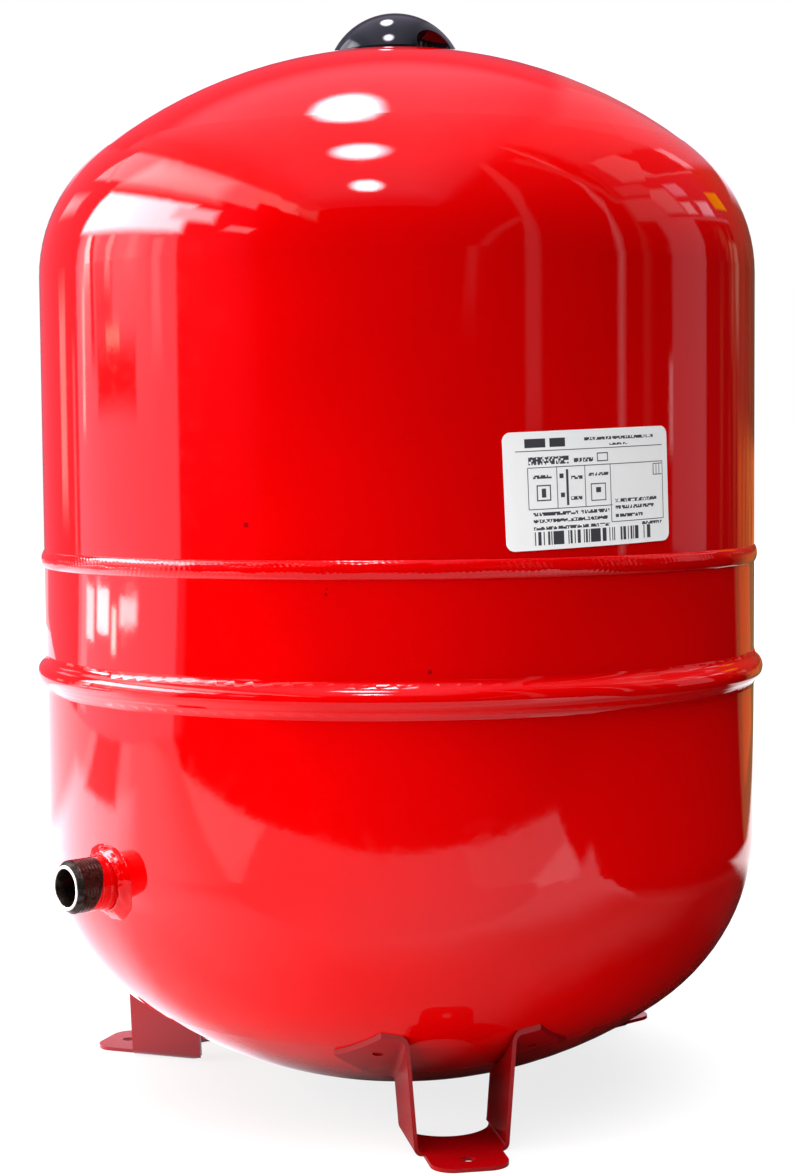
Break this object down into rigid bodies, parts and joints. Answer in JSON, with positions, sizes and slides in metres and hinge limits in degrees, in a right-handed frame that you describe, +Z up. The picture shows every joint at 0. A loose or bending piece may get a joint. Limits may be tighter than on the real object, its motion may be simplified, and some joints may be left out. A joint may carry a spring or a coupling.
{
  "type": "expansion tank",
  "caption": "Upright cylindrical expansion tank with domed ends, a girth weld, a rolled bead, a threaded side connection, folded feet and a gas valve under a plastic cap.",
  "frame": {"origin": "on the floor under the vessel's axis, at the centre of the anchor holes", "axes": "+Z up along the vessel's axis, -Y along the water connection"},
  "size_m": [0.3892, 0.4086, 0.571],
  "materials": {
    "red_gloss": "gloss",
    "red_satin": "satin",
    "pipe_steel": "dark bare thread, red paint behind it",
    "plain_steel": "plain",
    "spring_steel": "bright",
    "valve_brass": "turned",
    "black_rubber": "matte",
    "cap_plastic": "gloss",
    "label_film": "satin film"
  },
  "bodies": {
    "tank": {"upper_shell": "red_gloss", "lower_shell": "red_gloss", "girth_weld": "red_gloss", "diaphragm": "black_rubber", "clamp_ring": "plain_steel", "water_connection": "pipe_steel", "connection_weld": "red_gloss", "foot_right": "red_satin", "foot_rear": "red_satin", "foot_left": "red_satin", "foot_welds": "red_satin", "rating_label": "label_film", "valve_boss": "red_gloss", "boss_weld": "red_gloss", "valve_gasket": "black_rubber", "valve_body": "valve_brass", "core_housing": "valve_brass", "core_seal": "black_rubber", "core_spring": "spring_steel"},
    "cap": {"valve_cap": "cap_plastic"},
    "valve_pin": {"core_pin": "spring_steel", "poppet_seal": "black_rubber"}
  },
  "joints": [
    {"name": "cap_pull", "type": "slide", "parent": "tank", "child": "cap", "axis": [0, 0, 1], "range_m": [0, 0.04]},
    {"name": "valve_press", "type": "slide", "parent": "tank", "child": "valve_pin", "axis": [0, 0, -1], "range_m": [0, 0.0012], "stiffness_N_per_m": 300, "springref_m": -0.003, "deforming": ["core_spring"]}
  ]
}
